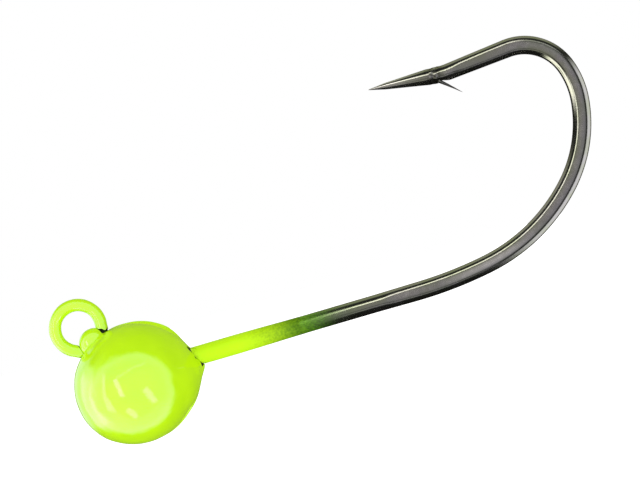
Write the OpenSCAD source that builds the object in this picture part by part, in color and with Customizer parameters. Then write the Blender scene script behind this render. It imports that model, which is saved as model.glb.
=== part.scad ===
// Ball jig head: a barbed hook and a wire line eye, both set in one cast lead ball, under gloss paint.
// The origin is the centre of the line eye. +X runs along the shank towards the bend, and +Z points to
// the side of the hook point. The hook and the eye both lie in the XZ plane.

/* [Ball] */
// Widest diameter of the lead ball
ball_d = 8.38; // [8.2:0.02:8.6]
// Diameter of the ball along the neck line, where the casting is slightly flattened
ball_neck_d = 7.92; // [7.8:0.02:8.1]
// Distance from the centre of the line eye to the centre of the ball
neck_length = 5.34; // [5.2:0.02:5.5]
// Angle between the neck line and the shank
neck_angle = 59.2; // [56:0.2:62]

/* [Exit cone at the shank] */
// Half angle of the blunt cone where the shank leaves the ball
cone_half_angle = 60.5; // [59.5:0.5:61]
// Distance from the centre of the ball to the apex of the cone
cone_apex = 4.72; // [4.66:0.02:4.74]
// Distance from the centre of the ball to the flat end of the cone
cone_end = 4.62; // [4.56:0.02:4.64]

/* [Boss between the eye legs] */
// Radius of the boss in the plane of the eye
boss_r = 1; // [0.9:0.05:1.05]
// Thickness of the boss across the plane of the eye
boss_t = 1.4; // [1.2:0.05:1.6]
// Radius of the rounded rim of the boss
boss_rim_r = 0.35; // [0.2:0.05:0.45]

/* [Line eye] */
// Radius of the eye, to the middle of its wire
eye_r = 1.54; // [1.5:0.02:1.6]
// Diameter of the eye wire without paint
eye_wire_d = 0.71; // [0.66:0.01:0.74]
// Angle from the neck line at which each leg leaves the loop
eye_leg_angle = 57; // [54:1:60]
// Distance from the neck line to the middle of each buried leg
leg_spread = 0.43; // [0.42:0.01:0.46]
// Bend radius of the buried legs
leg_bend_r = 0.8; // [0.7:0.05:0.9]
// Depth of the buried legs below the centre of the eye, to the start of their feet
leg_depth = 6.2; // [6:0.1:6.4]
// Angle through which each foot turns outwards
foot_angle = 70; // [60:5:75]
// Straight length at the end of each foot
foot_length = 0.5; // [0.3:0.1:0.7]

/* [Hook shank] */
// Diameter of the hook wire without paint
wire_d = 1.18; // [1.14:0.01:1.2]
// Distance of the shank axis below the centre of the line eye
shank_drop = 4; // [3.9:0.02:4.1]
// Place along the shank of the middle of the buried hook eye
hook_eye_x = 2.4; // [2.3:0.05:2.5]
// Radius of the buried hook eye, to the middle of its wire
hook_eye_r = 1.8; // [1.76:0.02:1.84]
// Place along the shank where the wire starts to be forged flat
forge_start_x = 19.4; // [18:0.1:20.5]
// Place along the shank where the bend starts
bend_start_x = 22.4; // [22:0.1:23]

/* [Hook bend, in five stretches] */
// In-plane width of the forged wire
forged_w = 1.24; // [1.21:0.01:1.28]
// Thickness of the forged wire across its flat side faces
forged_t = 1.14; // [1:0.01:1.18]
// Radius of the first, gentle stretch
bend_1_r = 28.5; // [26:0.5:31]
// Angle turned by the first stretch
bend_1_angle = 10; // [8:0.5:12]
// Radius of the second stretch
bend_2_r = 12; // [11.5:0.1:12.5]
// Angle turned by the second stretch
bend_2_angle = 36.5; // [35:0.5:38]
// Radius of the third stretch, at the widest part of the bend
bend_3_r = 9; // [8.6:0.1:9.4]
// Angle turned by the third stretch
bend_3_angle = 37.5; // [36:0.5:39]
// Radius of the fourth stretch
bend_4_r = 5.5; // [5.2:0.1:5.8]
// Angle turned by the fourth stretch
bend_4_angle = 25.5; // [24:0.5:27]
// Radius of the fifth, tightest stretch
bend_5_r = 3.35; // [3.2:0.05:3.5]
// Angle turned by the fifth stretch
bend_5_angle = 76; // [74:0.5:78]

/* [Hook spear, point and barb] */
// Straight length of the spear behind the barb
spear_length = 4.2; // [4:0.1:4.6]
// Diameter of the spear at the barb
spear_d = 1.09; // [1.06:0.01:1.12]
// Radius of the slight counter-bend at the barb
counter_r = 4; // [3.5:0.5:5]
// Angle of the slight counter-bend at the barb
counter_angle = 9.5; // [8:0.5:11]
// Straight length between the counter-bend and the ground point
seat_length = 0.65; // [0.5:0.05:0.8]
// Length of the long ground taper
taper_length = 2.95; // [2.6:0.05:3.2]
// Diameter where the long taper meets the needle end
needle_d = 0.44; // [0.38:0.02:0.5]
// Length of the needle end
needle_length = 1.15; // [1:0.05:1.3]
// Diameter of the very end
tip_d = 0.04; // [0.03:0.01:0.06]
// Length of the barb
barb_length = 1.68; // [1.4:0.02:1.8]
// Angle between the barb and the spear
barb_angle = 36.5; // [32:0.5:40]
// Thickness of the barb at its root
barb_t = 0.24; // [0.2:0.01:0.28]
// Width of the barb at its root
barb_w = 0.76; // [0.66:0.02:0.84]
// Depth of the cut in the spear that the barb was lifted from
barb_cut_depth = 0.22; // [0.16:0.02:0.26]
// Length of that cut
barb_cut_length = 1.45; // [1.2:0.05:1.6]

/* [Paint] */
// Thickness of the paint film
film = 0.06; // [0.05:0.005:0.08]
// Width of the crack in the film around each wire where it enters the head
crack = 0.05; // [0.04:0.01:0.08]
// Place along the shank where the film starts to thin out
fade_start_x = 11.5; // [10:0.1:13]
// Place along the shank where the film ends
fade_end_x = 14.6; // [14:0.1:16]
// Thickness of the film at that end
fade_film = 0.03; // [0.03:0.005:0.04]

/* [Hidden] */
$fn = 64;

ball_x = neck_length * cos(neck_angle);
ball_z = -neck_length * sin(neck_angle);
bend_radii = [bend_1_r, bend_2_r, bend_3_r, bend_4_r, bend_5_r];
bend_angles = [bend_1_angle, bend_2_angle, bend_3_angle, bend_4_angle, bend_5_angle];

// The legs lean in from the loop by this angle, until they turn to run side by side down the neck line
leg_lean = 90 - eye_leg_angle;
leg_lean_offset = eye_r * sin(eye_leg_angle) - leg_spread - leg_bend_r * (1 - cos(leg_lean));
leg_lean_length = leg_lean_offset / sin(leg_lean);
leg_loop_depth = eye_r * cos(eye_leg_angle);
leg_turn_depth = leg_loop_depth + leg_lean_length * cos(leg_lean) + leg_bend_r * sin(leg_lean);

// Enough to reach past any section of wire
past_wire = 2 * forged_w;
// Where two pieces of a wire meet, the thinner one reaches this far into the other
lap = 0.03;
// Difference in diameter between two such pieces
step = 0.004;
// Where the pressed flats fade out, they are this much further apart than the round wire is thick
flat_clearance = 0.02;
// Length of the barb's root inside the spear, and how far its middle lies under the spear's surface
barb_root = 0.25;
barb_root_depth = 0.1;
// The cut behind the barb ends this far past the middle of the root
barb_cut_past_root = 0.06;

// ---- frames and wire runs -------------------------------------------------------------------------

// Tilts its children so that the line eye stays put and the ball lies straight below it
module neck_frame() {
    rotate([0, neck_angle - 90, 0]) children();
}

// Turns a path drawn in the XY plane upright, so that its left turns lead towards +Z
module upright() {
    rotate([90, 0, 0]) children();
}

// Moves its children along +X to the end of a straight run
module past_run(length) {
    translate([length, 0, 0]) children();
}

// Moves its children to the end of a bend, where +X is again the direction of the wire
module past_bend(radius, angle) {
    translate([radius * sin(abs(angle)), sign(angle) * radius * (1 - cos(angle)), 0])
        rotate([0, 0, angle]) children();
}

// A straight round run along +X, from diameter d1 to d2
module run(length, d1, d2) {
    rotate([0, 90, 0]) cylinder(h = length, d1 = d1, d2 = d2);
}

// A bend from +X, to the left for a positive angle. Its child is the section of the wire.
// It can start early or end late, by a length along the wire.
module bend(radius, angle, early = 0, late = 0) {
    early_angle = early / radius * 180 / PI;
    late_angle = late / radius * 180 / PI;
    translate([0, sign(angle) * radius, 0])
        rotate([0, 0, angle > 0 ? -90 - early_angle : 90 + angle - late_angle])
            rotate_extrude(angle = early_angle + abs(angle) + late_angle, $fn = 256)
                translate([radius, 0]) children();
}

// A straight run whose side faces are pressed flat, from thickness t1 to t2
module pressed_run(length, d1, d2, t1, t2) {
    intersection() {
        run(length, d1, d2);
        rotate([90, 0, 0])
            linear_extrude(height = past_wire, center = true)
                polygon([[0, -t1 / 2], [length, -t2 / 2], [length, t2 / 2], [0, t1 / 2]]);
    }
}

// Section of the forged wire, thinner by a number of steps: round, with two flat side faces
module forged_section(steps) {
    intersection() {
        circle(d = forged_w - steps * step);
        square([past_wire, forged_t - steps * step], center = true);
    }
}

// ---- hook -----------------------------------------------------------------------------------------

// The wire thickens by a step at each stretch, and each one ends late, inside the next
module main_bend(i = 0) {
    last = len(bend_radii) - 1;
    bend(bend_radii[i], bend_angles[i], late = i < last ? lap : 0) forged_section(last - i);
    if (i < last) {
        past_bend(bend_radii[i], bend_angles[i]) main_bend(i + 1);
    }
}

// Moves its children to the end of the main bend
module past_main_bend(i = 0) {
    if (i < len(bend_radii)) {
        past_bend(bend_radii[i], bend_angles[i]) past_main_bend(i + 1) children();
    } else {
        children();
    }
}

// Moves its children to the start of the main bend, in the plane of the hook
module at_bend_start() {
    translate([bend_start_x, 0, -shank_drop]) upright() children();
}

// Moves its children to the barb, with +X towards the point and +Y towards the shank
module at_barb() {
    at_bend_start()
        past_main_bend()
            past_run(spear_length)
                past_bend(counter_r, -counter_angle) children();
}

// The ring in the lead, the straight shank, and the run where forging starts, which ends late
module shank() {
    ring_end_x = hook_eye_x + hook_eye_r;
    steps = len(bend_radii) * step;
    forging_length = bend_start_x - forge_start_x + lap;
    translate([hook_eye_x, 0, -shank_drop])
        rotate_extrude($fn = 128) translate([hook_eye_r, 0]) circle(d = wire_d);
    translate([ring_end_x, 0, -shank_drop]) run(forge_start_x - ring_end_x, wire_d, wire_d);
    translate([forge_start_x, 0, -shank_drop]) upright()
        pressed_run(forging_length, wire_d, forged_w - steps, wire_d + flat_clearance, forged_t - steps);
}

// The straight spear, which loses its flat faces towards the barb, and the counter-bend.
// From here on each piece is a step thinner than the one before, and starts early, inside it.
module spear() {
    start_d = forged_w - step;
    start_t = forged_t - step;
    past_run(-lap)
        pressed_run(spear_length + lap, start_d, spear_d + step, start_t, spear_d + flat_clearance);
    past_run(spear_length) bend(counter_r, -counter_angle, early = lap) circle(d = spear_d);
}

module point() {
    seat_d = spear_d - step;
    past_run(-lap) run(seat_length + lap, seat_d, seat_d);
    past_run(seat_length) run(taper_length, seat_d, needle_d);
    past_run(seat_length + taper_length) run(needle_length, needle_d, tip_d);
}

// The wedge of metal that is missing from the spear behind the barb, deepest at the barb's root
module barb_cut() {
    surface = spear_d / 2;
    deep_end = barb_cut_past_root;
    shallow_end = deep_end - barb_cut_length;
    linear_extrude(height = past_wire, center = true)
        polygon([
            [shallow_end, surface],
            [deep_end, surface - barb_cut_depth],
            [deep_end, past_wire],
            [shallow_end, past_wire]
        ]);
}

// The thin sliver that was lifted out of the cut. It narrows to its tip, seen from the side and from above.
module barb() {
    translate([0, spear_d / 2 - barb_root_depth, 0])
        rotate([0, 0, 180 - barb_angle])
            intersection() {
                sliver(barb_t, tip_d);
                rotate([90, 0, 0]) sliver(barb_w, 2 * tip_d);
            }
}

// A long trapezium along +X, from the end of the barb's root to its tip, as a prism reaching past the wire
module sliver(wide, narrow) {
    linear_extrude(height = past_wire, center = true)
        polygon([
            [-barb_root, -wide / 2],
            [barb_length, -narrow / 2],
            [barb_length, narrow / 2],
            [-barb_root, wide / 2]
        ]);
}

module hook() {
    color([0.27, 0.27, 0.26]) {
        difference() {
            union() {
                shank();
                at_bend_start() main_bend();
                at_bend_start() past_main_bend() spear();
                at_barb() point();
            }
            at_barb() barb_cut();
        }
        at_barb() barb();
    }
}

// ---- line eye -------------------------------------------------------------------------------------

// One leg, from the loop of diameter d down into the head, ending in a foot that turns outwards.
// Each piece is a step thinner than the one before, and starts early, inside it.
module eye_leg(d) {
    down_length = leg_depth - leg_turn_depth;
    past_run(-lap) run(leg_lean_length + lap, d - step, d - step);
    past_run(leg_lean_length) {
        bend(leg_bend_r, leg_lean, early = lap) circle(d = d - 2 * step);
        past_bend(leg_bend_r, leg_lean) {
            past_run(-lap) run(down_length + lap, d - 3 * step, d - 3 * step);
            past_run(down_length) {
                bend(leg_bend_r, foot_angle, early = lap) circle(d = d - 4 * step);
                past_bend(leg_bend_r, foot_angle)
                    past_run(-lap) run(foot_length + lap, d - 5 * step, d - 5 * step);
            }
        }
    }
}

// The loop and both legs, with the wire grown by the given thickness on every side
module eye_wire(grow = 0) {
    d = eye_wire_d + 2 * grow;
    neck_frame() upright() {
        rotate([0, 0, -leg_lean])
            rotate_extrude(angle = 180 + 2 * leg_lean, $fn = 256) translate([eye_r, 0]) circle(d = d);
        for (side = [0, 1])
            mirror([side, 0, 0])
                rotate([0, 0, -leg_lean]) translate([eye_r, 0, 0]) rotate([0, 0, -90]) eye_leg(d);
    }
}

module line_eye() {
    color([0.5, 0.5, 0.48]) eye_wire();
}

// ---- head -----------------------------------------------------------------------------------------

module ball(grow) {
    wide = ball_d + 2 * grow;
    narrow = ball_neck_d + 2 * grow;
    neck_frame() translate([0, 0, -neck_length])
        scale([1, 1, narrow / wide]) sphere(d = wide, $fn = 128);
}

// A round disc with a rounded rim, standing on edge in the plane of the eye
module boss(grow) {
    rim = boss_rim_r + grow;
    flat_r = boss_r - boss_rim_r;
    flat_t = boss_t - 2 * boss_rim_r;
    neck_frame() translate([0, 0, -eye_r]) rotate([90, 0, 0])
        rotate_extrude() {
            translate([0, -flat_t / 2 - rim]) square([flat_r, flat_t + 2 * rim]);
            translate([0, -flat_t / 2]) square([flat_r + rim, flat_t]);
            for (side = [-1, 1]) translate([flat_r, side * flat_t / 2]) circle(r = rim);
        }
}

module exit_cone(grow) {
    apex = cone_apex + grow / sin(cone_half_angle);
    start = apex * sin(cone_half_angle) ^ 2;
    end = cone_end + grow;
    slope = tan(cone_half_angle);
    translate([ball_x + start, 0, ball_z])
        run(end - start, 2 * slope * (apex - start), 2 * slope * (apex - end), $fn = 128);
}

// The whole casting without the wires, grown by the given thickness on every side
module head_shape(grow = 0) {
    ball(grow);
    boss(grow);
    exit_cone(grow);
}

module lead_head() {
    color([0.55, 0.56, 0.58])
        difference() {
            head_shape();
            shank();
            eye_wire();
        }
}

// ---- paint film -----------------------------------------------------------------------------------

// The straight shank with its wire grown by the given thickness, from inside the ball to past the paint
module grown_shank(grow) {
    d = wire_d + 2 * grow;
    translate([ball_x, 0, -shank_drop]) run(fade_end_x, d, d);
}

module head_paint() {
    color([0.74, 0.95, 0.05])
        difference() {
            head_shape(film);
            head_shape();
            grown_shank(film + crack);
            eye_wire(film + crack);
        }
}

module eye_paint() {
    color([0.7, 0.92, 0.05])
        difference() {
            eye_wire(film);
            eye_wire();
            head_shape(film + crack);
        }
}

module shank_paint() {
    full_d = wire_d + 2 * film;
    end_d = wire_d + 2 * fade_film;
    color([0.7, 0.92, 0.05])
        difference() {
            translate([ball_x, 0, -shank_drop]) {
                run(fade_start_x - ball_x, full_d, full_d);
                past_run(fade_start_x - ball_x) run(fade_end_x - fade_start_x, full_d, end_d);
            }
            grown_shank(0);
            head_shape(film + crack);
        }
}

hook();
line_eye();
lead_head();
head_paint();
eye_paint();
shank_paint();
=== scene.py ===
"""Looks of a ball jig head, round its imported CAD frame: forged wire, a cast head, plating and paint.

Lengths are in millimetres, in the frame of the part, until a mesh is made from them."""

import math

import bmesh
import bpy
import numpy as np
from mathutils import Matrix, Vector


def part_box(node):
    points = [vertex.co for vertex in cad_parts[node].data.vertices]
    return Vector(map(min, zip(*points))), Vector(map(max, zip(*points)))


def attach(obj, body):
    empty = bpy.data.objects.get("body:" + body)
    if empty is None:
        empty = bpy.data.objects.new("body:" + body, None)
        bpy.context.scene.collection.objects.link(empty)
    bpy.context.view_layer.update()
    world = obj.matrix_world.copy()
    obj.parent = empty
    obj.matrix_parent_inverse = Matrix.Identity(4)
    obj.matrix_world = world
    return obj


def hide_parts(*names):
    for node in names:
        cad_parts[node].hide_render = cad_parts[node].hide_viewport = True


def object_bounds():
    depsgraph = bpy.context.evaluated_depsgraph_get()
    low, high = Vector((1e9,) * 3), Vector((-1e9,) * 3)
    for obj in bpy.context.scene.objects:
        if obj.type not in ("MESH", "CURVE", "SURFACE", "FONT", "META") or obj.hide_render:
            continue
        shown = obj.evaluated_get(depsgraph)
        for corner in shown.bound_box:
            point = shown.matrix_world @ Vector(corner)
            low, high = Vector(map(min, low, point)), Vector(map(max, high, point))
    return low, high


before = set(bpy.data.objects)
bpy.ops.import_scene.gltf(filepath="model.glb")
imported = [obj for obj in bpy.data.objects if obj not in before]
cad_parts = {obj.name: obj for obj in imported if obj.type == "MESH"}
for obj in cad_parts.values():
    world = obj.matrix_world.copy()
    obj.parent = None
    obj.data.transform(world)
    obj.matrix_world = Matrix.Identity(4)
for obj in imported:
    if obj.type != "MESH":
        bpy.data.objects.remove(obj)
cad_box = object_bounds()

MM = 0.001
BODY = "root"


# ---- sizes: those that the frame gives, then those of the same design that its boxes don't show --


def node_box(name):
    """Lowest and highest corner of a CAD node, in millimetres."""
    low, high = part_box(name)
    return np.array(low) / MM, np.array(high) / MM


def width_of(name):
    """Size of a CAD node across the plane of the hook."""
    low, high = node_box(name)
    return high[1] - low[1]


EYE_WIRE_D = width_of("line_eye")
FILM = (width_of("eye_paint") - EYE_WIRE_D) / 2
WIRE_D = width_of("shank_paint") - 2 * FILM
BALL_D = width_of("lead_head")
EYE_R = node_box("line_eye")[1][2] - EYE_WIRE_D / 2
SHANK_Z = (node_box("shank_paint")[0][2] + node_box("shank_paint")[1][2]) / 2
PAINT_END_X = node_box("shank_paint")[1][0]

NECK_LENGTH = 5.34
NECK_ANGLE = math.radians(59.2)
BALL_NECK_D = 7.92
CONE_HALF_ANGLE = math.radians(60.5)
CONE_APEX = 4.72
CONE_END = 4.62
BOSS_R = 1.0
BOSS_T = 1.4
BOSS_RIM_R = 0.64

LEG_LEAN = math.radians(33)
LEG_SPREAD = 0.43
LEG_BEND_R = 0.8
LEG_DEPTH = 6.2

RING_X = 2.4
RING_R = 1.8
FORGE_START_X = 19.4
BEND_START_X = 22.4
FORGED_W = 1.24
FORGED_T = 1.14
BENDS = [(28.5, 10), (12, 36.5), (9, 37.5), (5.5, 25.5), (3.35, 76)]  # radius, angle in degrees
SPEAR_LENGTH = 4.2
SPEAR_D = 1.09
COUNTER_BEND = (4, -9.5)
SEAT_LENGTH = 0.65
TAPER_LENGTH = 2.95
NEEDLE_D = 0.44
NEEDLE_LENGTH = 1.15
TIP_D = 0.04

BARB_LENGTH = 1.68
BARB_ANGLE = math.radians(36.5)
BARB_T = 0.24
BARB_W = 0.76
BARB_ROOT = 0.3
BARB_ROOT_DEPTH = 0.1
BARB_CUT_PAST_ROOT = 0.06
BARB_CUT_DEPTH = 0.22
BARB_CUT_LENGTH = 1.45

# Grinding the point left a rough band round the wire, a little past the barb's root
GRINDING_OFFSET = 0.25
GRINDING_REACH = 0.42
GRINDING_DEPTH = 0.02
GRINDING_PITCH = 0.45

# Plain width of the crack round each wire where it comes out of the head's film
CRACK = 0.012
# Clearance between a film and the wire or the lead under it
FILM_CLEARANCE = 0.002
LEAD_CLEARANCE = 0.004
# How far along the hook's path its turning eases in and out of each bend
BEND_EASE = 0.8

# The paint thins out along the shank between these places, as overspray past the end of the film
SPRAY_START_X = 9.8
SPRAY_END_X = 16.8

# The two halves of the mould met this far out of line, half of it each way, and left a soft step and
# a flash
MOULD_SHIFT = 0.24
MOULD_SHIFT_DIRECTION = np.array([0.97, 0, 0.24])
STEP_HALF_WIDTH = 0.09
FLASH_HEIGHT = 0.015
FLASH_HALF_WIDTH = 0.06

# A drop of paint that dried on the cone beside the shank: place from the ball's centre, height, reach
DROP_CENTRE = np.array([4.15, -0.95, -0.2])
DROP_HEIGHT = 0.075
DROP_REACH = 0.36


# ---- directions ----------------------------------------------------------------------------------

UP_NECK = np.array([-math.cos(NECK_ANGLE), 0, math.sin(NECK_ANGLE)])
ACROSS_NECK = np.array([math.sin(NECK_ANGLE), 0, math.cos(NECK_ANGLE)])
ACROSS_PLANE = np.array([0.0, 1.0, 0.0])
BALL_CENTRE = -NECK_LENGTH * UP_NECK


# ---- flat paths of bent wire ---------------------------------------------------------------------


class Path:
    """A path in the XZ plane, from a start and a heading, along stretches of (length, turn towards +Z)."""

    GRAIN = 0.01

    def __init__(self, start, heading, stretches, soften=0.0):
        self.length = sum(length for length, turn in stretches)
        count = int(round(self.length / self.GRAIN)) + 1
        self.s = np.linspace(0, self.length, count)
        ends = np.cumsum([length for length, turn in stretches])
        turn_rates = np.array([turn / length for length, turn in stretches])
        stretch = np.minimum(np.searchsorted(ends, self.s), len(stretches) - 1)
        rate = turn_rates[stretch]
        if soften:
            window = np.hanning(int(soften / self.GRAIN) | 1)
            rate = np.convolve(rate, window / window.sum(), mode="same")
        self.heading = heading + self._running(rate)
        self.x = start[0] + self._running(np.cos(self.heading))
        self.z = start[1] + self._running(np.sin(self.heading))

    def _running(self, rate):
        """Integral of a rate along the path, by the trapezium rule."""
        steps = (rate[1:] + rate[:-1]) / 2 * (self.s[1] - self.s[0])
        return np.concatenate([[0], np.cumsum(steps)])

    def at(self, s):
        """Points on the path, and unit vectors square to it in its plane, at the given distances."""
        heading = np.interp(s, self.s, self.heading)
        zeros = np.zeros_like(heading)
        points = np.stack([np.interp(s, self.s, self.x), zeros, np.interp(s, self.s, self.z)], axis=-1)
        normals = np.stack([-np.sin(heading), zeros, np.cos(heading)], axis=-1)
        return points, normals

    def along(self, s):
        """Unit vectors along the path."""
        heading = np.interp(s, self.s, self.heading)
        return np.stack([np.cos(heading), np.zeros_like(heading), np.sin(heading)], axis=-1)


def arc(radius, degrees):
    """A stretch that turns by an angle at a radius."""
    return radius * math.radians(abs(degrees)), math.radians(degrees)


def hook_path():
    """The hook's wire from the side of its ring, inside the lead, to the tip of its point."""
    ring_side = RING_X + RING_R
    stretches = [(BEND_START_X - ring_side, 0.0)]
    stretches += [arc(radius, angle) for radius, angle in BENDS]
    stretches += [(SPEAR_LENGTH, 0.0), arc(*COUNTER_BEND)]
    stretches += [(SEAT_LENGTH + TAPER_LENGTH + NEEDLE_LENGTH, 0.0)]
    return Path((ring_side, SHANK_Z), 0.0, stretches, soften=BEND_EASE)


def eye_path():
    """The eye's wire from the bottom of one leg, round the loop, to the bottom of the other."""
    lean_offset = EYE_R * math.cos(LEG_LEAN) - LEG_SPREAD - LEG_BEND_R * (1 - math.cos(LEG_LEAN))
    lean_length = lean_offset / math.sin(LEG_LEAN)
    lean_depth = EYE_R * math.sin(LEG_LEAN) + lean_length * math.cos(LEG_LEAN)
    down_length = LEG_DEPTH - lean_depth - LEG_BEND_R * math.sin(LEG_LEAN)
    start = -LEG_DEPTH * UP_NECK + LEG_SPREAD * ACROSS_NECK
    leg_turn = (LEG_BEND_R * LEG_LEAN, -LEG_LEAN)
    loop_angle = math.pi + 2 * LEG_LEAN
    stretches = [(down_length, 0.0), leg_turn, (lean_length, 0.0)]
    stretches += [(EYE_R * loop_angle, loop_angle)]
    stretches += [(lean_length, 0.0), leg_turn, (down_length, 0.0)]
    return Path((start[0], start[2]), math.pi - NECK_ANGLE, stretches)


# ---- meshes --------------------------------------------------------------------------------------


def smooth_step(low, high, value):
    t = np.clip((value - low) / (high - low), 0, 1)
    return t * t * (3 - 2 * t)


def ripples(points, wavelength, seed, waves=14):
    """Smooth seeded noise of about unit size at the points: a sum of plane waves in random directions."""
    draw = np.random.default_rng(seed)
    directions = draw.normal(size=(waves, 3))
    directions /= np.linalg.norm(directions, axis=1, keepdims=True)
    pitch = 2 * math.pi / (wavelength * draw.uniform(0.6, 1.6, size=waves))
    phase = draw.uniform(0, 2 * math.pi, size=waves)
    total = np.sin(points @ (directions * pitch[:, None]).T + phase).sum(axis=-1)
    return total / math.sqrt(waves)


def new_mesh(name, vertices, faces):
    """A linked object from vertices in millimetres, turned right side out."""
    mesh = bpy.data.meshes.new(name)
    mesh.from_pydata([tuple(v) for v in np.asarray(vertices) * MM], [], faces)
    mesh.validate()
    work = bmesh.new()
    work.from_mesh(mesh)
    if work.calc_volume(signed=True) < 0:
        bmesh.ops.reverse_faces(work, faces=work.faces)
    work.to_mesh(mesh)
    work.free()
    piece = bpy.data.objects.new(name, mesh)
    bpy.context.scene.collection.objects.link(piece)
    return piece


def ring_faces(rings, around, loop):
    """Quads between neighbouring rings of vertices. With loop, the last ring also joins the first."""
    faces = []
    for i in range(rings if loop else rings - 1):
        a = i * around
        b = (i + 1) % rings * around
        faces += [(a + j, a + (j + 1) % around, b + (j + 1) % around, b + j) for j in range(around)]
    return faces


def rings_mesh(name, grid, loop=False):
    """A closed mesh from rings of points: joined end to end with loop, or else with a fan at each end."""
    rings, around = grid.shape[:2]
    vertices = grid.reshape(-1, 3)
    faces = ring_faces(rings, around, loop)
    if not loop:
        first, last = rings * around, rings * around + 1
        vertices = np.vstack([vertices, grid[0].mean(axis=0), grid[-1].mean(axis=0)])
        end = (rings - 1) * around
        faces += [((j + 1) % around, j, first) for j in range(around)]
        faces += [(end + j, end + (j + 1) % around, last) for j in range(around)]
    return new_mesh(name, vertices, faces)


def tube_grid(path, s, around, in_plane, across):
    """Rings of points round a path. s, in_plane and across are arrays of (rings, around)."""
    points, normals = path.at(s)
    return points + in_plane[..., None] * normals + across[..., None] * ACROSS_PLANE


def round_grid(path, s, around, radius):
    """Rings of a round tube round a path, where s and radius may vary along and around it."""
    angle = np.linspace(0, 2 * math.pi, around, endpoint=False)[None, :]
    s, radius = np.broadcast_arrays(np.asarray(s, float), np.asarray(radius, float))
    shape = (s.shape[0], around)
    s, radius = np.broadcast_to(s, shape), np.broadcast_to(radius, shape)
    return tube_grid(path, s, around, radius * np.cos(angle), radius * np.sin(angle))


def boolean(piece, other, operation):
    """Joins another closed mesh to a piece, or cuts it away, and removes it."""
    step = piece.modifiers.new(operation.lower(), "BOOLEAN")
    step.object = other
    step.operation = operation
    step.solver = "EXACT"
    graph = bpy.context.evaluated_depsgraph_get()
    made = bpy.data.meshes.new_from_object(piece.evaluated_get(graph))
    piece.modifiers.clear()
    piece.data = made
    bpy.data.objects.remove(other)
    return piece


def finish_mesh(piece, sharp_degrees):
    """Outward normals, and smooth shading with sharp edges where faces meet at more than an angle.

    Cuts leave faces of many sides. Those are split from their own centres, because a diagonal across
    one of them could fall on an edge that other faces share."""
    work = bmesh.new()
    work.from_mesh(piece.data)
    bmesh.ops.remove_doubles(work, verts=work.verts, dist=1e-4 * MM)
    bmesh.ops.recalc_face_normals(work, faces=work.faces)
    bmesh.ops.connect_verts_concave(work, faces=work.faces)
    bmesh.ops.poke(work, faces=[face for face in work.faces if len(face.verts) > 4])
    work.to_mesh(piece.data)
    work.free()
    piece.data.shade_smooth()
    piece.data.set_sharp_from_angle(angle=math.radians(sharp_degrees))


def place(piece, material, replaced):
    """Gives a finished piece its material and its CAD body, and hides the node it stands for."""
    piece.data.materials.clear()
    piece.data.materials.append(material)
    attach(piece, BODY)
    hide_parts(replaced)


# ---- hook ----------------------------------------------------------------------------------------


def hook_section(s, x_start, path):
    """In-plane width and thickness across the plane of the hook's wire, at distances along it."""
    forge_start = FORGE_START_X - x_start
    bend_start = BEND_START_X - x_start
    spear_start = bend_start + sum(arc(*bend)[0] for bend in BENDS)
    barb = spear_start + SPEAR_LENGTH + arc(*COUNTER_BEND)[0]
    taper = barb + SEAT_LENGTH
    needle = taper + TAPER_LENGTH
    places = [0, forge_start, bend_start, spear_start, barb, taper, needle, path.length]
    widths = [WIRE_D, WIRE_D, FORGED_W, FORGED_W, SPEAR_D, SPEAR_D, NEEDLE_D, TIP_D]
    width = np.interp(s, places, widths)
    fading = smooth_step(spear_start + 1, barb - 0.4, s)
    pressed = smooth_step(forge_start, bend_start + 1, s) * (1 - fading)
    thickness = np.where(pressed > 0, width - pressed * (FORGED_W - FORGED_T), width)
    return width, thickness, pressed


def hook_stations(path):
    """Distances along the hook where its rings go: closer together in the bends and towards the point."""
    straight_end = BEND_START_X - 1 - (RING_X + RING_R)
    point_start = path.length - TAPER_LENGTH - NEEDLE_LENGTH - SEAT_LENGTH
    return np.concatenate([
        np.arange(0, straight_end, 0.2),
        np.arange(straight_end, point_start, 0.11),
        np.arange(point_start, path.length - 0.2, 0.05),
        np.linspace(path.length - 0.2, path.length, 8),
    ])


def hook_wire(path):
    """The wire from its ring to its tip, round where it is drawn and flat-sided where it is forged."""
    around = 56
    s = hook_stations(path)[:, None]
    angle = np.linspace(0, 2 * math.pi, around, endpoint=False)[None, :]
    width, thickness, pressed = hook_section(s, RING_X + RING_R, path)
    in_plane = width / 2 * np.cos(angle)
    round_side = width / 2 * np.sin(angle)
    # A soft clip: the higher the power, the sharper the round part turns into the flat
    power = 9
    flat_side = round_side / (1 + np.abs(round_side / (thickness / 2)) ** power) ** (1 / power)
    across = round_side + (flat_side - round_side) * smooth_step(0, 0.3, pressed)
    s_all = np.broadcast_to(s, across.shape)
    grid = tube_grid(path, s_all, around, in_plane, across)
    return rings_mesh("hook_wire", ground_band(path, s_all, grid))


def ground_band(path, s, grid):
    """The wire's rings, roughened by the end of the grinding at the barb."""
    middle = path.length - NEEDLE_LENGTH - TAPER_LENGTH - SEAT_LENGTH + GRINDING_OFFSET
    share = np.exp(-(((s - middle) / GRINDING_REACH) ** 2))
    outward = grid - path.at(s)[0]
    outward /= np.linalg.norm(outward, axis=-1, keepdims=True)
    depth = GRINDING_DEPTH * share * ripples(grid, GRINDING_PITCH, seed=51)
    return grid + depth[..., None] * outward


def hook_ring():
    """The ring at the end of the shank, inside the lead, lying across the plane of the hook."""
    turns = np.linspace(0, 2 * math.pi, 64, endpoint=False)[:, None]
    angle = np.linspace(0, 2 * math.pi, 32, endpoint=False)[None, :]
    distance = RING_R + WIRE_D / 2 * np.cos(angle)
    height = WIRE_D / 2 * np.sin(angle) + 0 * turns
    x, y = RING_X + distance * np.cos(turns), distance * np.sin(turns)
    grid = np.stack([x, y, SHANK_Z + height], axis=-1)
    return rings_mesh("hook_ring", grid, loop=True)


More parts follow.
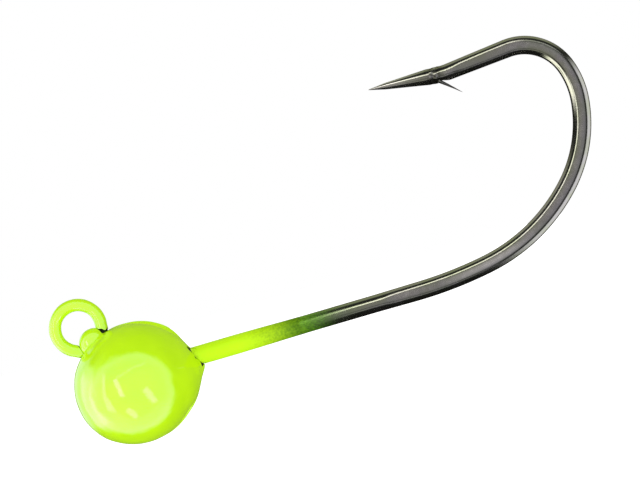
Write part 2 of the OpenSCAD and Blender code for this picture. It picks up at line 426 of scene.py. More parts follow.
def at_barb(path):
    """Where the barb is, and the directions towards the point and towards the shank there."""
    s = path.length - NEEDLE_LENGTH - TAPER_LENGTH - SEAT_LENGTH
    points, normals = path.at(np.array([s]))
    return points[0], path.along(np.array([s]))[0], normals[0]


def prism(name, outline, origin, forward, side, half_width):
    """A straight prism across the plane of the hook from an outline of (forward, side) points."""
    outline = np.array(outline)
    flat = origin + outline[:, :1] * forward + outline[:, 1:] * side
    count = len(flat)
    vertices = np.vstack([flat - half_width * ACROSS_PLANE, flat + half_width * ACROSS_PLANE])
    faces = [tuple(range(count)), tuple(range(2 * count - 1, count - 1, -1))]
    faces += [(i, (i + 1) % count, count + (i + 1) % count, count + i) for i in range(count)]
    return new_mesh(name, vertices, faces)


def barb_cut(path):
    """The curved notch that the barb was lifted out of, with the chisel's ragged end at the barb's root."""
    origin, forward, side = at_barb(path)
    surface = SPEAR_D / 2
    deep_end = BARB_CUT_PAST_ROOT
    shallow_end = deep_end - BARB_CUT_LENGTH
    floor = []
    for t in np.linspace(0, 1, 13):
        floor.append((deep_end - BARB_CUT_LENGTH * (1 - t), surface - BARB_CUT_DEPTH * t ** 2.4))
    outline = floor + [(deep_end, 3 * surface), (shallow_end, 3 * surface)]
    return prism("barb_cut", outline, origin, forward, side, SPEAR_D)


def barb_sliver(path):
    """The barb: a thin lifted sliver, slightly curled, that narrows to its tip from all sides."""
    origin, forward, side = at_barb(path)
    rings, around = 22, 20
    t = np.linspace(-BARB_ROOT / BARB_LENGTH, 1, rings)[:, None]
    angle = np.linspace(0, 2 * math.pi, around, endpoint=False)[None, :]
    taper = np.clip(1 - t, 0, 1) * 0.92 + 0.08
    # A squarish section: the sliver keeps the chisel's flat underside
    cos, sin = np.cos(angle), np.sin(angle)
    thick = BARB_T / 2 * taper * np.sign(sin) * np.abs(sin) ** 0.6
    wide = BARB_W / 2 * taper ** 0.8 * np.sign(cos) * np.abs(cos) ** 0.8
    curl = 0.05 * t ** 2
    lean = BARB_ANGLE
    out = math.sin(lean) * side - math.cos(lean) * forward
    square = math.cos(lean) * side + math.sin(lean) * forward
    start = origin + (SPEAR_D / 2 - BARB_ROOT_DEPTH) * side
    grid = start + (t * BARB_LENGTH)[..., None] * out + (thick + curl)[..., None] * square
    return rings_mesh("barb_sliver", grid + wide[..., None] * ACROSS_PLANE)


def make_hook():
    path = hook_path()
    hook = hook_wire(path)
    boolean(hook, barb_cut(path), "DIFFERENCE")
    boolean(hook, barb_sliver(path), "UNION")
    boolean(hook, hook_ring(), "UNION")
    hook.name = "hook_body"
    finish_mesh(hook, 32)
    return hook


# ---- head ----------------------------------------------------------------------------------------


def smooth_min(a, b, blend):
    """The lower of two distances, rounded over where they are nearly the same."""
    h = np.clip(0.5 + 0.5 * (b - a) / blend, 0, 1)
    return b + (a - b) * h - blend * h * (1 - h)


def smooth_max(a, b, blend):
    return -smooth_min(-a, -b, blend)


def halves_distance(centred, grow):
    """How far points lie outside the ball: two half-balls that meet a little out of line."""
    rear = 2 * smooth_step(-STEP_HALF_WIDTH, STEP_HALF_WIDTH, centred[..., 1]) - 1
    shifted = centred - (rear * MOULD_SHIFT / 2)[..., None] * MOULD_SHIFT_DIRECTION
    across_r = (BALL_D - MOULD_SHIFT) / 2
    radii = np.array([across_r, BALL_D / 2 - 0.04, (BALL_NECK_D - 0.3 * MOULD_SHIFT) / 2]) + grow
    local = np.stack([shifted @ ACROSS_NECK, shifted[..., 1], shifted @ UP_NECK], axis=-1)
    k = np.linalg.norm(local / radii, axis=-1)
    return k * (k - 1) / np.maximum(np.linalg.norm(local / radii ** 2, axis=-1), 1e-9)


def ball_distance(points, grow):
    """How far points lie outside the ball and the cone that it runs into at the shank, without a crease."""
    centred = points - BALL_CENTRE
    from_axis = np.hypot(centred[..., 1], centred[..., 2])
    off_axis = np.arctan2(from_axis, centred[..., 0])
    touching_r = CONE_APEX * math.sin(CONE_HALF_ANGLE)
    near_cone = smooth_step(math.radians(48), math.radians(24), off_axis)
    plain = np.linalg.norm(centred, axis=-1) - touching_r - grow
    ball = halves_distance(centred, grow) * (1 - near_cone) + plain * near_cone
    on_cone = np.minimum(off_axis, math.pi / 2 - CONE_HALF_ANGLE)
    rise = touching_r * (1 / np.sin(CONE_HALF_ANGLE + on_cone) - 1)
    from_drop = np.linalg.norm(centred - DROP_CENTRE, axis=-1)
    drop = DROP_HEIGHT * np.exp(-((from_drop / DROP_REACH) ** 2))
    return smooth_max(ball - rise - drop, centred[..., 0] - CONE_END - grow, 0.12)


def boss_distance(points, grow):
    """How far points lie outside the boss between the legs of the eye, a disc with a full round rim."""
    from_boss = points + EYE_R * UP_NECK
    in_plane = np.hypot(from_boss @ UP_NECK, from_boss @ ACROSS_NECK)
    past_r = in_plane - (BOSS_R - BOSS_RIM_R)
    past_t = np.abs(points[..., 1]) - (BOSS_T / 2 - BOSS_RIM_R)
    outside = np.hypot(np.maximum(past_r, 0), np.maximum(past_t, 0))
    return outside + np.minimum(np.maximum(past_r, past_t), 0) - BOSS_RIM_R - grow


def head_distance(points, grow):
    """How far points lie outside the casting, grown by a thickness. Negative inside."""
    y = points[..., 1]
    casting = 0.017 * ripples(points, 3.2, seed=3) + 0.007 * ripples(points, 1.3, seed=4)
    flash_share = smooth_step(-1.2, 0.8, ripples(points, 2.2, seed=8))
    flash = FLASH_HEIGHT * flash_share * np.exp(-((y / FLASH_HALF_WIDTH) ** 2))
    ball = ball_distance(points, grow) - casting - flash
    return smooth_min(ball, boss_distance(points, grow), 0.1)


def head_grid(rings, around, grow):
    """Rings of points on the head round the neck's axis, closest together at the boss and the parting."""
    step = np.linspace(0, 1, rings + 2)[1:-1, None]
    from_pole = math.pi * (step - 0.09 * np.sin(2 * math.pi * step) / (2 * math.pi) * 3.2)
    turn = np.linspace(0, 2 * math.pi, around, endpoint=False)[None, :]
    turn = turn - 0.38 * np.sin(2 * turn)
    radial = np.cos(turn)[..., None] * ACROSS_NECK + np.sin(turn)[..., None] * ACROSS_PLANE
    directions = np.cos(from_pole)[..., None] * UP_NECK + np.sin(from_pole)[..., None] * radial
    return surface_points(directions, grow)


def surface_points(directions, grow):
    """Where lines from the centre of the ball in the given directions leave the head, by halving."""
    near = np.full(directions.shape[:-1], 2.5)
    far = np.full(directions.shape[:-1], 6.0)
    for _ in range(30):
        middle = (near + far) / 2
        outside = head_distance(BALL_CENTRE + middle[..., None] * directions, grow) > 0
        far = np.where(outside, middle, far)
        near = np.where(outside, near, middle)
    return BALL_CENTRE + near[..., None] * directions


def head_mesh(name, rings, around, grow):
    """The head as one closed surface, grown by a thickness."""
    grid = head_grid(rings, around, grow)
    poles = surface_points(np.array([UP_NECK, -UP_NECK]), grow)
    vertices = np.vstack([grid.reshape(-1, 3), poles])
    faces = ring_faces(rings, around, loop=False)
    first, last = rings * around, rings * around + 1
    end = (rings - 1) * around
    faces += [((j + 1) % around, j, first) for j in range(around)]
    faces += [(end + j, end + (j + 1) % around, last) for j in range(around)]
    return new_mesh(name, vertices, faces)


def gap_round(angle, chips, base):
    """Width of the crack round a wire: a base width and chips of (angle in degrees, half width, depth)."""
    gap = np.full_like(angle, base)
    for middle, half_width, depth in chips:
        off = (np.degrees(angle) - middle + 180) % 360 - 180
        gap = gap + depth * np.exp(-((off / half_width) ** 2))
    return gap


def crack_cutter(name, path, s_start, s_end, wire_r, chips, seed):
    """A ragged sleeve along a wire that cuts the opening it comes through in the film."""
    around = 72
    s = np.linspace(s_start, s_end, 26)[:, None]
    angle = np.linspace(0, 2 * math.pi, around, endpoint=False)[None, :]
    gap = gap_round(angle, chips, CRACK)
    centre = round_grid(path, s, around, wire_r)
    ragged = 1 + 0.35 * ripples(centre, 0.5, seed)
    radius = wire_r + FILM + gap * np.clip(ragged, 0.4, 1.8)
    return rings_mesh(name, round_grid(path, s, around, radius))


# Chips in the paint where the wires come out of the head, as (angle in degrees, half width, depth).
# The angle runs round the wire from the side its path turns towards, over the side away from the camera.
SHANK_CHIPS = [(-42, 20, 0.30), (-96, 9, 0.12), (-150, 15, 0.20), (60, 20, 0.05)]
FIRST_LEG_CHIPS = [(-95, 28, 0.13), (-165, 32, 0.22), (120, 25, 0.05)]
LAST_LEG_CHIPS = [(-8, 24, 0.14), (-170, 22, 0.16)]


def make_head_film(eye, shank):
    """The paint on the head: a thin closed shell, cracked open round the wires."""
    film = head_mesh("head_film", 170, 240, FILM)
    boolean(film, head_mesh("head_inside", 84, 120, LEAD_CLEARANCE), "DIFFERENCE")
    leg = LEG_DEPTH - 2.6
    cutters = [
        crack_cutter("first_leg_crack", eye, leg - 1.6, leg + 2.4, EYE_WIRE_D / 2, FIRST_LEG_CHIPS, 21),
        crack_cutter("last_leg_crack", eye, eye.length - leg - 2.4, eye.length - leg + 1.6,
                     EYE_WIRE_D / 2, LAST_LEG_CHIPS, 22),
        crack_cutter("shank_crack", shank, 0.5, 4.5, WIRE_D / 2, SHANK_CHIPS, 23),
    ]
    for cutter in cutters:
        boolean(film, cutter, "DIFFERENCE")
    finish_mesh(film, 38)
    return film


def make_lead(eye, shank):
    """The casting under the paint, with channels where the wires run through it."""
    lead = head_mesh("lead_casting", 96, 132, 0.0)
    along_eye = np.linspace(0, eye.length, 240)[:, None]
    along_shank = np.linspace(0, 6, 20)[:, None]
    channels = [
        rings_mesh("eye_channel", round_grid(eye, along_eye, 32, EYE_WIRE_D / 2)),
        rings_mesh("shank_channel", round_grid(shank, along_shank, 48, WIRE_D / 2)),
        hook_ring(),
    ]
    for channel in channels:
        boolean(lead, channel, "DIFFERENCE")
    finish_mesh(lead, 38)
    return lead


# ---- paint on the wires --------------------------------------------------------------------------


def first_outside(path, s_values, radius, gap, around):
    """For each angle round a wire, the first distance along it that is clear of the head by a gap."""
    angle = np.linspace(0, 2 * math.pi, around, endpoint=False)[None, :]
    grid = round_grid(path, s_values[:, None], around, radius)
    clear = head_distance(grid, FILM) - gap(angle) > 0
    return s_values[np.argmax(clear, axis=0)]


def film_sleeve(name, path, start, end, inner_r, thickness, rings):
    """A thin closed sleeve of film along a wire. start and end hold a distance for each angle round it."""
    around = len(start)
    t = np.linspace(0, 1, rings)[:, None]
    t = t - 0.1 * np.sin(2 * math.pi * t)
    s = start[None, :] * (1 - t) + end[None, :] * t
    outer = round_grid(path, s, around, inner_r + thickness(path, s))
    inner = round_grid(path, s[::-1], around, inner_r)
    return rings_mesh(name, np.concatenate([outer, inner]), loop=True)


def make_eye_film(path):
    """The paint on the loop and on as much of its legs as stands clear of the head."""
    around = 44
    middle = path.length / 2
    ends = []
    for side, chips in ((-1, FIRST_LEG_CHIPS), (1, LAST_LEG_CHIPS)):
        s_values = middle + side * np.linspace(middle - 0.5, 0, 900)
        ends.append(first_outside(path, s_values, EYE_WIRE_D / 2 + FILM,
                                  lambda angle: gap_round(angle, chips, CRACK), around))

    def thickness(path, s):
        points, normals = path.at(s)
        return FILM - 0.006 + 0.006 * np.clip(ripples(points, 1.3, seed=31), -1, 1)

    inner_r = EYE_WIRE_D / 2 + FILM_CLEARANCE
    film = film_sleeve("eye_film", path, ends[0], ends[1], inner_r, thickness, 150)
    finish_mesh(film, 50)
    return film


def make_shank_film(path):
    """The paint on the shank, which thins to nothing with a ragged end."""
    around = 64
    s_values = np.linspace(0.5, 5.5, 900)
    start = first_outside(path, s_values, WIRE_D / 2 + FILM,
                          lambda angle: gap_round(angle, SHANK_CHIPS, CRACK), around)
    path_start_x = RING_X + RING_R
    angle = np.linspace(0, 2 * math.pi, around, endpoint=False)
    round_points = np.stack([np.cos(angle), np.sin(angle), 0 * angle], axis=-1)
    end = PAINT_END_X - path_start_x - 0.25 + 0.12 * np.clip(ripples(round_points, 0.9, seed=41), -2, 2)

    def thickness(path, s):
        x = s + path_start_x
        points, normals = path.at(s)
        full = FILM - 0.004 + 0.004 * np.clip(ripples(points, 1.7, seed=42), -1, 1)
        return full * (1 - 0.93 * smooth_step(SPRAY_START_X, PAINT_END_X, x))

    inner_r = WIRE_D / 2 + FILM_CLEARANCE
    film = film_sleeve("shank_film", path, start, end, inner_r, thickness, 90)
    finish_mesh(film, 50)
    return film


# ---- node helpers --------------------------------------------------------------------------------


def shader_node(tree, kind, inputs=None, **settings):
    """A new shader node. An input may be a value or another node's output."""
    made = tree.nodes.new("ShaderNode" + kind)
    for key, value in settings.items():
        setattr(made, key, value)
    for key, value in (inputs or {}).items():
        if isinstance(value, bpy.types.NodeSocket):
            tree.links.new(value, made.inputs[key])
        else:
            made.inputs[key].default_value = value
    return made


def calculate(tree, operation, a, b=0.0, c=0.0, clamp=False):
    made = shader_node(tree, "Math", {0: a, 1: b, 2: c}, operation=operation, use_clamp=clamp)
    return made.outputs[0]


def ramp(tree, value, low, high, to_low=0.0, to_high=1.0):
    """A smooth change from one value to another as the input goes from low to high."""
    inputs = {"Value": value, "From Min": low, "From Max": high, "To Min": to_low, "To Max": to_high}
    made = shader_node(tree, "MapRange", inputs, interpolation_type="SMOOTHSTEP")
    return made.outputs["Result"]


def blend_colors(tree, share, a, b):
    made = shader_node(tree, "Mix", data_type="RGBA")
    for socket, value in ((made.inputs[0], share), (made.inputs[6], a), (made.inputs[7], b)):
        if isinstance(value, bpy.types.NodeSocket):
            tree.links.new(value, socket)
        else:
            socket.default_value = value
    return made.outputs[2]


def noise(tree, position, per_mm, detail=3.0, roughness=0.5, stretch=(1, 1, 1)):
    """Procedural noise with about the given number of blobs to the millimetre."""
    scaled = shader_node(tree, "Mapping", {"Vector": position, "Scale": stretch}).outputs[0]
    inputs = {"Vector": scaled, "Scale": per_mm, "Detail": detail, "Roughness": roughness}
    return shader_node(tree, "TexNoise", inputs).outputs["Fac"]


def position_in_mm(tree):
    place_node = shader_node(tree, "TexCoord").outputs["Object"]
    return shader_node(tree, "VectorMath", {0: place_node, "Scale": 1 / MM}, operation="SCALE").outputs[0]


def bump(tree, height, distance_mm, strength=1.0, normal=None):
    inputs = {"Height": height, "Distance": distance_mm * MM, "Strength": strength}
    if normal is not None:
        inputs["Normal"] = normal
    return shader_node(tree, "Bump", inputs).outputs[0]


def new_material(name):
    material = bpy.data.materials.new(name)
    material.use_nodes = True
    material.node_tree.nodes.clear()
    return material, material.node_tree


def show(tree, shader):
    shader_node(tree, "OutputMaterial", {"Surface": shader})


# ---- materials -----------------------------------------------------------------------------------

CHARTREUSE = (0.37, 0.62, 0.004, 1)
CHARTREUSE_DEEP = (0.32, 0.56, 0.003, 1)
CHARTREUSE_THIN = (0.10, 0.40, 0.006, 1)
NICKEL_PURPLE = (0.132, 0.124, 0.135, 1)
NICKEL_OLIVE = (0.108, 0.113, 0.092, 1)
NICKEL_BRIGHT = (0.30, 0.29, 0.30, 1)
NICKEL_TINTED = (0.05, 0.09, 0.02, 1)
NICKEL_WORN = (0.045, 0.045, 0.038, 1)
LEAD_DARK = (0.035, 0.04, 0.04, 1)
LEAD_LIGHT = (0.08, 0.085, 0.09, 1)
DRAWN_DARK = (0.03, 0.032, 0.026, 1)
DRAWN_LIGHT = (0.07, 0.07, 0.06, 1)


def paint_shader(tree, position, cover=None):
    """Glossy fluorescent paint, mottled, with pigment grain and orange peel.

    Where cover drops, it's thin and dry."""
    mottling = noise(tree, position, 0.55, detail=2)
    grain = noise(tree, position, 14, detail=2)
    patches = ramp(tree, mottling, 0.3, 0.7, 0.0, 0.7)
    tone = calculate(tree, "ADD", patches, ramp(tree, grain, 0.55, 0.8, 0.0, 0.3))
    color = blend_colors(tree, tone, CHARTREUSE, CHARTREUSE_DEEP)
    roughness = ramp(tree, noise(tree, position, 3), 0.3, 0.7, 0.07, 0.13)
    # glow is a painted glow: emission in place of the paint's fluorescence, weaker where the paint is thin
    glow = 0.28
    shine = 0.5
    if cover is not None:
        shine = 0.12
        thin = ramp(tree, cover, 0.0, 0.85, 1.0, 0.0)
        color = blend_colors(tree, thin, color, CHARTREUSE_THIN)
        roughness = calculate(tree, "MULTIPLY_ADD", thin, 0.2, calculate(tree, "ADD", roughness, 0.22))
        glow = calculate(tree, "MULTIPLY_ADD", thin, -0.22, glow)
    peel = bump(tree, noise(tree, position, 1.6, detail=1), 0.012)
    fine = bump(tree, noise(tree, position, 7, detail=2), 0.0016, normal=peel)
    inputs = {
        "Base Color": color,
        "Roughness": roughness,
        "IOR": 1.5,
        "Specular IOR Level": shine,
        "Normal": fine,
        "Emission Color": (0.40, 0.66, 0.003, 1),
        "Emission Strength": glow,
    }
    return shader_node(tree, "BsdfPrincipled", inputs).outputs[0]


def nickel_shader(tree, position):
    """Black nickel over steel: drawn lines on the shank, streaky forged flats with a painted highlight
    where the bend starts, and grinding at the point with a painted highlight towards its tip.
    """
    parts = shader_node(tree, "SeparateXYZ", {0: position})
    x, y, z = parts.outputs[0], parts.outputs[1], parts.outputs[2]
    off_plane = calculate(tree, "ABSOLUTE", y)
    on_flat = ramp(tree, off_plane, FORGED_T / 2 - 0.05, FORGED_T / 2 - 0.01)
    past_forging = ramp(tree, x, FORGE_START_X, BEND_START_X)
    flat = calculate(tree, "MULTIPLY", on_flat, past_forging)
    cloud = noise(tree, position, 0.9, detail=3)
    tint = calculate(tree, "MULTIPLY_ADD", flat, 0.5, ramp(tree, cloud, 0.35, 0.65, 0, 0.5))
    color = blend_colors(tree, tint, NICKEL_OLIVE, NICKEL_PURPLE)
    # A painted highlight makes the flats brightest low down where the bend starts; they are also streaky
    # all along
    low = ramp(tree, z, -3.4, -2.0, 1, 0)
    bend_start = calculate(tree, "MULTIPLY", ramp(tree, x, 23.5, 26.5), low)
    streaks = noise(tree, position, 1.7, detail=4, roughness=0.7)
    streaky = ramp(tree, streaks, 0.42, 0.72, 0, 0.3)
    painted_sheen_and_streaks = calculate(tree, "MULTIPLY_ADD", bend_start, 0.8, streaky)
    color = blend_colors(tree, calculate(tree, "MULTIPLY", painted_sheen_and_streaks, flat), color, NICKEL_BRIGHT)
    # The ground point is brighter towards its tip, partly as bare ground steel and partly as a painted
    # highlight, and mottled where the grinding ends at the barb
    origin, forward, side = at_barb(hook_path())
    subtract = shader_node(tree, "VectorMath", {0: position, 1: origin}, operation="SUBTRACT")
    past_barb = part_along(tree, subtract.outputs[0], forward)
    on_spear = ramp(tree, z, 5, 6)
    ground_and_highlight = calculate(tree, "MULTIPLY", on_spear, ramp(tree, past_barb, 0.8, 3.6, 0, 0.5))
    color = blend_colors(tree, ground_and_highlight, color, NICKEL_BRIGHT)
    off_band = calculate(tree, "ABSOLUTE", calculate(tree, "SUBTRACT", past_barb, GRINDING_OFFSET))
    near_band = ramp(tree, off_band, 0.15, 2 * GRINDING_REACH, 1, 0)
    band = calculate(tree, "MULTIPLY", on_spear, near_band)
    marks = ramp(tree, noise(tree, position, 4, detail=4), 0.42, 0.6)
    worn = calculate(tree, "MULTIPLY", band, marks)
    color = blend_colors(tree, worn, color, NICKEL_WORN)
    # The last mist of paint only tints and dulls the plating
    mist = ramp(tree, x, SPRAY_END_X - 2.5, SPRAY_END_X + 2.2, 1, 0)
    color = blend_colors(tree, mist, color, NICKEL_TINTED)
    lines = noise(tree, position, 9, detail=3, stretch=(0.12, 1, 1))
    grain = noise(tree, position, 16, detail=3)
    texture = calculate(tree, "ADD", calculate(tree, "MULTIPLY", lines, 0.5), grain)
    roughness = calculate(tree, "MULTIPLY_ADD", flat, 0.1, ramp(tree, cloud, 0.3, 0.7, 0.1, 0.16))
    roughness = calculate(tree, "MULTIPLY_ADD", mist, 0.3, roughness)
    inputs = {
        "Base Color": color,
        "Metallic": 1.0,
        "Roughness": roughness,
        "Specular Tint": (0.5, 0.5, 0.42, 1),
        "Normal": bump(tree, texture, 0.003),
    }
    return shader_node(tree, "BsdfPrincipled", inputs).outputs[0]


def overspray(tree, position):
    """Share of the shank's surface that paint covers: full at the head, then speckled, then none."""
    x = shader_node(tree, "SeparateXYZ", {0: position}).outputs[0]
    wander = noise(tree, position, 0.8, detail=2)
    shifted = calculate(tree, "MULTIPLY_ADD", wander, 1.2, calculate(tree, "SUBTRACT", x, 0.6))
    cover = ramp(tree, shifted, SPRAY_START_X, SPRAY_END_X, 1.0, 0.0)
    speckle = calculate(tree, "SUBTRACT", noise(tree, position, 7, detail=3, roughness=0.65), 0.5)
    inside = calculate(tree, "MULTIPLY", ramp(tree, cover, 0.0, 0.12), ramp(tree, cover, 1.0, 0.9))
    grain = calculate(tree, "MULTIPLY", inside, calculate(tree, "MULTIPLY", speckle, 0.55))
    return calculate(tree, "ADD", cover, grain, clamp=True)


def paint_material():
    material, tree = new_material("chartreuse_paint")
    show(tree, paint_shader(tree, position_in_mm(tree)))
    return material


def sprayed_nickel_material(name):
    """Black nickel on the hook, with the paint's overspray where the film ends."""
    material, tree = new_material(name)
    position = position_in_mm(tree)
    cover = overspray(tree, position)
    inputs = {0: cover, 1: nickel_shader(tree, position), 2: paint_shader(tree, position, cover)}
    show(tree, shader_node(tree, "MixShader", inputs).outputs[0])
    return material


def lead_material():
    """Lead as cast: dull grey, mottled, with a grainy skin."""
    material, tree = new_material("cast_lead")
    position = position_in_mm(tree)
    color = blend_colors(tree, noise(tree, position, 1.5), LEAD_DARK, LEAD_LIGHT)
    inputs = {
        "Base Color": color,
        "Metallic": 0.8,
        "Roughness": ramp(tree, noise(tree, position, 4), 0.3, 0.7, 0.45, 0.7),
        "Normal": bump(tree, noise(tree, position, 6, detail=4), 0.02),
    }
    show(tree, shader_node(tree, "BsdfPrincipled", inputs).outputs[0])
    return material


def drawn_wire_material():
    """The eye's wire, seen in the cracks: dark drawn steel with lines along it."""
    material, tree = new_material("drawn_wire")
    position = position_in_mm(tree)
    color = blend_colors(tree, noise(tree, position, 2), DRAWN_DARK, DRAWN_LIGHT)
    inputs = {
        "Base Color": color,
        "Metallic": 1.0,
        "Roughness": ramp(tree, noise(tree, position, 8), 0.3, 0.7, 0.25, 0.45),
        "Normal": bump(tree, noise(tree, position, 12, detail=3), 0.006),
    }
    show(tree, shader_node(tree, "BsdfPrincipled", inputs).outputs[0])
    return material


# ---- studio --------------------------------------------------------------------------------------

# The camera looks square on to the plane of the hook, rolled so that the shank climbs to the right
ROLL = math.radians(16.3)
CAMERA_RIGHT = Vector((math.cos(ROLL), 0, -math.sin(ROLL)))
CAMERA_UP = Vector((math.sin(ROLL), 0, math.cos(ROLL)))
CAMERA_BACK = Vector((0, -1, 0))
LENS = 200
SENSOR = 36
VIEW_WIDTH = 42.67
VIEW_CENTRE = (17.13, 1.11)


def add_camera():
    data = bpy.data.cameras.new("camera")
    data.lens = LENS
    data.sensor_width = SENSOR
    data.clip_start = 0.01
    camera = bpy.data.objects.new("camera", data)
    bpy.context.scene.collection.objects.link(camera)
    distance = VIEW_WIDTH * LENS / SENSOR * MM
    centre = Vector((VIEW_CENTRE[0] * MM, 0, VIEW_CENTRE[1] * MM))
    turned = Matrix((CAMERA_RIGHT, CAMERA_UP, CAMERA_BACK)).transposed().to_4x4()
    camera.matrix_world = Matrix.Translation(centre + CAMERA_BACK * distance) @ turned
    bpy.context.scene.camera = camera


def toward(right, up, back):
    """A unit direction from its parts to the camera's right, up and back towards the camera."""
    return (CAMERA_RIGHT * right + CAMERA_UP * up + CAMERA_BACK * back).normalized()


def part_along(tree, direction, axis):
    dot = shader_node(tree, "VectorMath", {0: direction, 1: axis}, operation="DOT_PRODUCT")
    return dot.outputs["Value"]


def round_light(tree, direction, axis, half_angle, soft):
    """A soft-edged round light in the surroundings: 1 within half_angle of the axis, 0 past it."""
    cosine = part_along(tree, direction, axis)
    outer = math.cos(math.radians(half_angle + soft))
    inner = math.cos(math.radians(half_angle - soft))
    return ramp(tree, cosine, outer, inner)


def strip_light(tree, direction, start, end, width):
    """A thin straight light in the surroundings between two directions, width being its half width."""
    middle = (start + end).normalized()
    length = (end - start).length / 2
    along = (end - start).normalized()
    square = middle.cross(along).normalized()
    off = calculate(tree, "ABSOLUTE", part_along(tree, direction, square))
    far = calculate(tree, "ABSOLUTE", part_along(tree, direction, along))
    in_front = ramp(tree, part_along(tree, direction, middle), 0.0, 0.1)
    shape = calculate(tree, "MULTIPLY", ramp(tree, off, width * 0.6, width * 1.4, 1, 0),
                      ramp(tree, far, length * 0.9, length * 1.1, 1, 0))
    return calculate(tree, "MULTIPLY", shape, in_front)


def sector_light(tree, direction, low, high, soft, start, end, soft_end=8):
    """Part of a ring round the camera's axis, from low to high degrees off it and from start to end.

    The turn round the axis is counted from the camera's right, towards its top."""
    back = calculate(tree, "ARCCOSINE", part_along(tree, direction, CAMERA_BACK))
    off = calculate(tree, "DEGREES", back)
    band = calculate(tree, "MULTIPLY", ramp(tree, off, low - soft, low + soft),
                     ramp(tree, off, high - soft, high + soft, 1, 0))
    middle = math.radians((start + end) / 2)
    ahead = part_along(tree, direction, CAMERA_RIGHT * math.cos(middle) + CAMERA_UP * math.sin(middle))
    beside = part_along(tree, direction, CAMERA_UP * math.cos(middle) - CAMERA_RIGHT * math.sin(middle))
    turned = calculate(tree, "ARCTAN2", beside, ahead)
    turn = calculate(tree, "ABSOLUTE", calculate(tree, "DEGREES", turned))
    half = (end - start) / 2
    return calculate(tree, "MULTIPLY", band, ramp(tree, turn, half - soft_end, half + soft_end, 1, 0))


def total_light(tree, base, lights):
    """Sum of lights of (strength, shape) over a base level."""
    level = base
    for strength, shape in lights:
        level = calculate(tree, "MULTIPLY_ADD", shape, strength, level)
    return level


def add_surroundings():
    """White behind the object, soft light all round, and a dim one for reflections: domes light those."""
    world = bpy.data.worlds.new("studio")
    bpy.context.scene.world = world
    world.use_nodes = True
    tree = world.node_tree
    tree.nodes.clear()
    direction = shader_node(tree, "TexCoord").outputs["Generated"]
    level = total_light(tree, 0.52, [
        (0.95, round_light(tree, direction, toward(-0.1, -0.18, 1), 62, 9)),
        (0.22, round_light(tree, direction, toward(-0.1, -0.18, 1), 84, 8)),
        (0.45, round_light(tree, direction, toward(-0.3, -1, 0.1), 45, 15)),
        (0.75, round_light(tree, direction, toward(0, 0.3, -1), 60, 12)),
    ])
    upward = part_along(tree, direction, CAMERA_UP)
    dim = ramp(tree, upward, -0.5, 0.4, 0.06, 0.14)
    path = shader_node(tree, "LightPath").outputs
    soft = shader_node(tree, "Background", {"Color": (1, 1, 0.97, 1), "Strength": level})
    reflected = shader_node(tree, "Background", {"Color": (1, 1, 0.97, 1), "Strength": dim})
    white = shader_node(tree, "Background", {"Color": (1, 1, 1, 1), "Strength": 1.0})
    inputs = {0: path["Is Glossy Ray"], 1: soft.outputs[0], 2: reflected.outputs[0]}
    lit = shader_node(tree, "MixShader", inputs)
    inputs = {0: path["Is Camera Ray"], 1: lit.outputs[0], 2: white.outputs[0]}
    both = shader_node(tree, "MixShader", inputs)
    shader_node(tree, "OutputWorld", {"Surface": both.outputs[0]})


def paint_lights(tree, direction):
    """What the paint mirrors: a wide round box in front, a panel and bars at the left, a few streaks."""
    box = toward(-0.10, -0.44, 1.0)
    streaks = [  # strength, start, end, half width
        (3.4, (-0.9, 0.3, 0.42), (-0.75, -0.9, 0.42), 0.08),
        (6.0, (-0.57, 0.167, 0.805), (-0.344, -0.348, 0.87), 0.10),
        (5.0, (0.336, -0.06, 0.94), (0.64, -0.55, 0.54), 0.08),
        (4.5, (-0.189, -0.763, 0.618), (0.112, -0.889, 0.445), 0.07),
        (1.8, (-0.527, 0.214, 0.823), (0.30, 0.655, 0.69), 0.04),
    ]
    lights = [
        (2.7, round_light(tree, direction, box, 86, 7)),
        (-0.7, round_light(tree, direction, box, 72, 7)),
        (0.8, sector_light(tree, direction, 66, 98, 6, 150, 330, 25)),
        (3.8, sector_light(tree, direction, 90, 121, 7, 166, 236, 12)),
        (1.3, sector_light(tree, direction, 118, 158, 8, 150, 225, 14)),
    ]
    for strength, start, end, width in streaks:
        lights.append((strength, strip_light(tree, direction, toward(*start), toward(*end), width)))
    return (0.80, 1.0, 1.06, 1), total_light(tree, 0.0, lights)


def metal_lights(tree, direction):
    """What the nickel mirrors: a dim front, a thin warm arc above, and panels at the lower corners."""
    warm = (1.0, 0.98, 0.86, 1)
    cool = (0.95, 0.94, 1.0, 1)
    olive = (0.86, 0.92, 0.62, 1)
    rightness = part_along(tree, direction, CAMERA_RIGHT)
    upward = part_along(tree, direction, CAMERA_UP)
    color = blend_colors(tree, ramp(tree, rightness, -0.1, 0.3), warm, cool)
    color = blend_colors(tree, ramp(tree, upward, 0.5, 0.9), color, olive)
    return color, total_light(tree, 0.0, [
        (1.2, round_light(tree, direction, toward(0, 0, 1), 22, 8)),
        (9.0, sector_light(tree, direction, 30, 45, 4.5, 92, 205)),
        (2.5, sector_light(tree, direction, 30, 45, 4.5, 50, 92)),
        (9.0, sector_light(tree, direction, 52, 114, 8, 188, 243, 8)),
        (4.8, sector_light(tree, direction, 50, 128, 10, -50, 34, 10)),
        (1.8, sector_light(tree, direction, 92, 150, 12, 55, 160, 12)),
        (1.5, sector_light(tree, direction, 30, 44, 6, 240, 300, 10)),
    ])


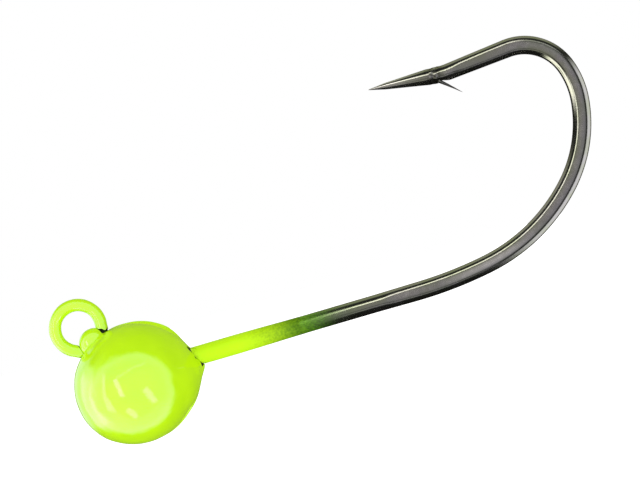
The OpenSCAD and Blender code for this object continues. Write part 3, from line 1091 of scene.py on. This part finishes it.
def add_dome(name, radius, pieces, lights):
    """A wide dome that only the reflections in the given pieces see. It blocks nothing."""
    mesh = bpy.data.meshes.new(name)
    work = bmesh.new()
    bmesh.ops.create_uvsphere(work, u_segments=64, v_segments=32, radius=radius)
    work.to_mesh(mesh)
    work.free()
    dome = bpy.data.objects.new(name, mesh)
    bpy.context.scene.collection.objects.link(dome)
    material, tree = new_material(name)
    place_node = shader_node(tree, "TexCoord").outputs["Object"]
    direction = shader_node(tree, "VectorMath", {0: place_node}, operation="NORMALIZE").outputs[0]
    color, level = lights(tree, direction)
    glow = shader_node(tree, "Emission", {"Color": color, "Strength": level})
    clear = shader_node(tree, "BsdfTransparent")
    show(tree, shader_node(tree, "AddShader", {0: glow.outputs[0], 1: clear.outputs[0]}).outputs[0])
    material.cycles.emission_sampling = "NONE"
    mesh.materials.append(material)
    dome.visible_camera = False
    dome.visible_diffuse = False
    dome.visible_shadow = False
    seen_by = bpy.data.collections.new(name + "_pieces")
    for piece in pieces:
        seen_by.objects.link(piece)
    dome.light_linking.receiver_collection = seen_by


def add_floor():
    """A plain pale floor under the object. It neither blocks light nor shows in reflections."""
    low = cad_box[0]
    half = 0.6
    mesh = bpy.data.meshes.new("floor")
    z = low.z - 0.0002
    corners = [(-half, -half, z), (half, -half, z), (half, half, z), (-half, half, z)]
    mesh.from_pydata(corners, [], [(0, 1, 2, 3)])
    floor = bpy.data.objects.new("floor", mesh)
    bpy.context.scene.collection.objects.link(floor)
    material, tree = new_material("pale_floor")
    matt = shader_node(tree, "BsdfDiffuse", {"Color": (0.5, 0.5, 0.5, 1)})
    glow = shader_node(tree, "Emission", {"Color": (1, 1, 1, 1), "Strength": 0.9})
    show(tree, shader_node(tree, "AddShader", {0: matt.outputs[0], 1: glow.outputs[0]}).outputs[0])
    mesh.materials.append(material)
    floor.visible_diffuse = False
    floor.visible_glossy = False
    floor.visible_shadow = False


# ---- the object ----------------------------------------------------------------------------------

paint = paint_material()
nickel = sprayed_nickel_material("black_nickel")
sprayed_film = sprayed_nickel_material("thinning_paint")
eye = eye_path()
shank = hook_path()

hook = make_hook()
head_film = make_head_film(eye, shank)
eye_film = make_eye_film(eye)
place(hook, nickel, "hook")
place(make_lead(eye, shank), lead_material(), "lead_head")
place(head_film, paint, "head_paint")
place(eye_film, paint, "eye_paint")
place(make_shank_film(shank), sprayed_film, "shank_paint")

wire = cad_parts["line_eye"]
wire.data.materials.clear()
wire.data.materials.append(drawn_wire_material())

bpy.context.scene.view_settings.view_transform = "Standard"
add_surroundings()
add_dome("paint_reflections", 2.0, [head_film, eye_film], paint_lights)
add_dome("metal_reflections", 2.4, [hook], metal_lights)
add_floor()
add_camera()
